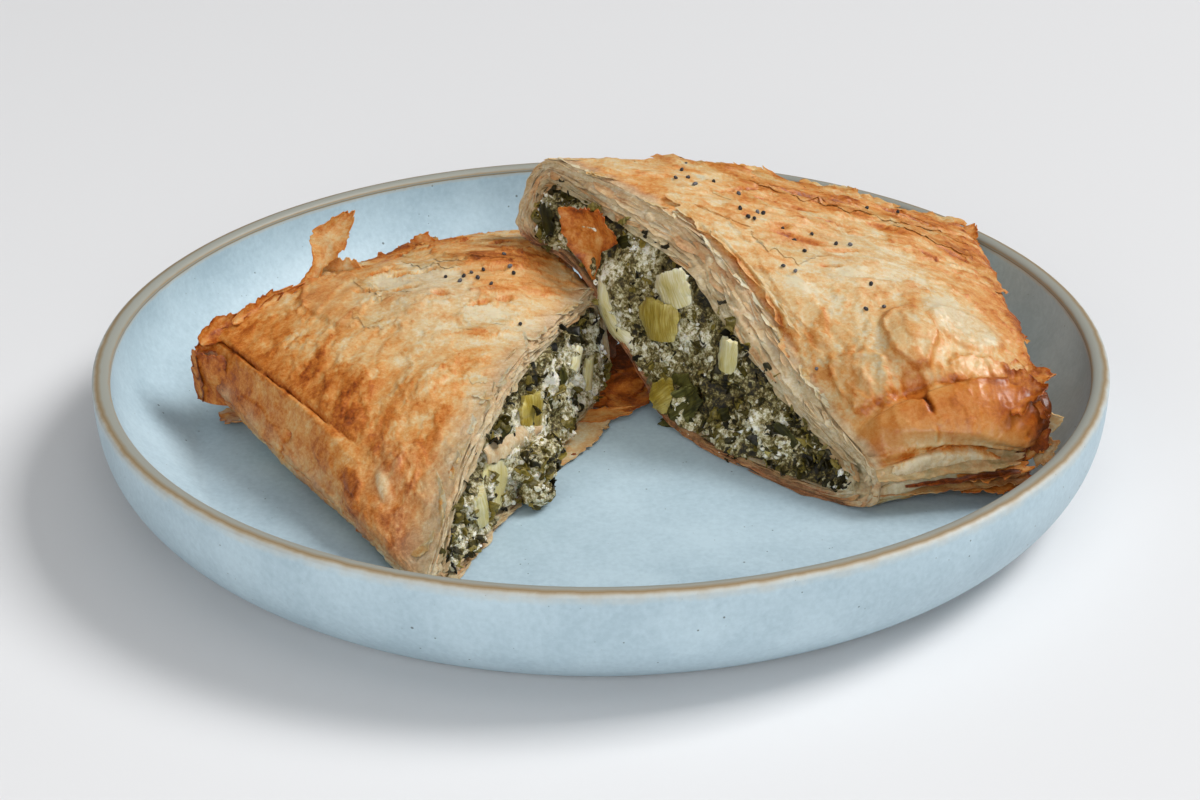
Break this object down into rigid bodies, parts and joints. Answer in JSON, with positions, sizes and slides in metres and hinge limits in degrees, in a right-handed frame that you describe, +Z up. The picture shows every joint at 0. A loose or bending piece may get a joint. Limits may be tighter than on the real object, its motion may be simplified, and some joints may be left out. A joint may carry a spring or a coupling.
{
  "type": "spanakopita pie",
  "caption": "Rectangular spinach and feta pie in flaky filo pastry, cut across, one half leaning on the other, on a round rimmed stoneware plate.",
  "frame": {"origin": "middle of the plate's foot, on the table", "axes": "+Z up, +X to the plate's right as seen from the side where both cut faces show, +Y to the back"},
  "size_m": [0.26, 0.26, 0.0652],
  "materials": {
    "stoneware": "satin powder blue glaze with fine dark specks and a bare brown rim edge",
    "baked_filo": "golden brown baked filo, glossy where buttered, pale and layered where cut",
    "spinach_filling": "moist chopped spinach with white feta crumbs and pale leek",
    "pale_flake": "thin translucent golden flake of filo",
    "brown_flake": "thin well browned flake of filo"
  },
  "bodies": {
    "root": {"plate": "stoneware", "left_crust": "baked_filo", "left_filling": "spinach_filling", "right_crust": "baked_filo", "right_filling": "spinach_filling", "cut_flake": "brown_flake", "plate_flake_pale": "pale_flake", "plate_flake_brown": "brown_flake", "corner_flake": "pale_flake"}
  },
  "joints": []
}
